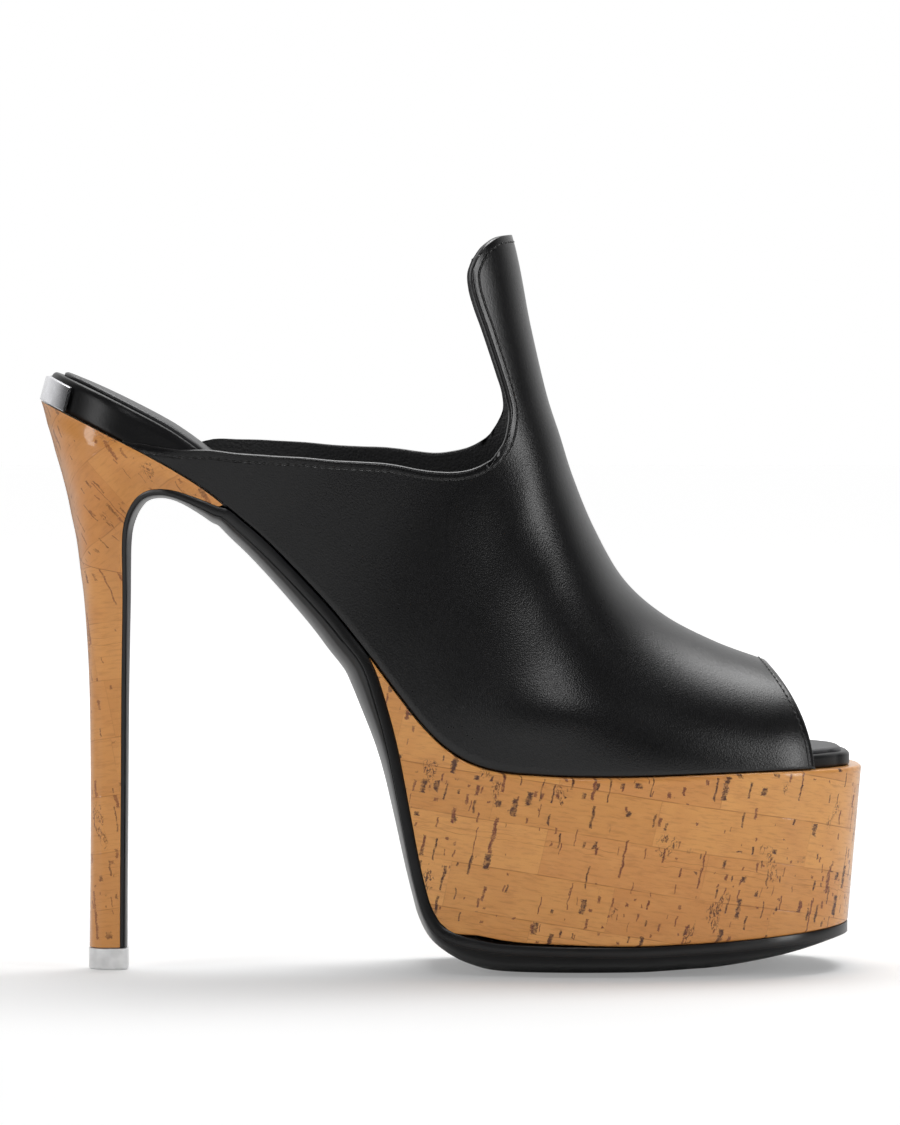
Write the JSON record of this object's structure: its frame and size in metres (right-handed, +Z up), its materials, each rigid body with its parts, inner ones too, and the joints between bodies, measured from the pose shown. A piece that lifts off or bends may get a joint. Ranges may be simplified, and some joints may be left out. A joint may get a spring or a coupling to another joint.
{
  "type": "shoe",
  "caption": "Right high platform mule with a stiletto heel, an open toe, a tall tongue over the instep, an open back and a cork covered platform",
  "frame": {"origin": "middle of the box around the shoe, on the floor", "axes": "+X towards the toe, +Y towards the medial side, +Z up"},
  "size_m": [0.2156, 0.08, 0.1925],
  "materials": {
    "calf": "smooth satin calf",
    "board": "smooth wrapped leather",
    "sock": "soft lining leather",
    "platform_cork": "lacquered cork sheet",
    "sole": "satin painted sole",
    "heel_cork": "lacquered cork sheet",
    "lift": "pale moulded plastic",
    "plate": "polished metal, bare"
  },
  "bodies": {
    "root": {"upper": "calf", "insole_board": "board", "sock": "sock", "platform": "platform_cork", "outsole": "sole", "heel": "heel_cork", "top_lift": "lift", "heel_plate": "plate"}
  },
  "joints": []
}
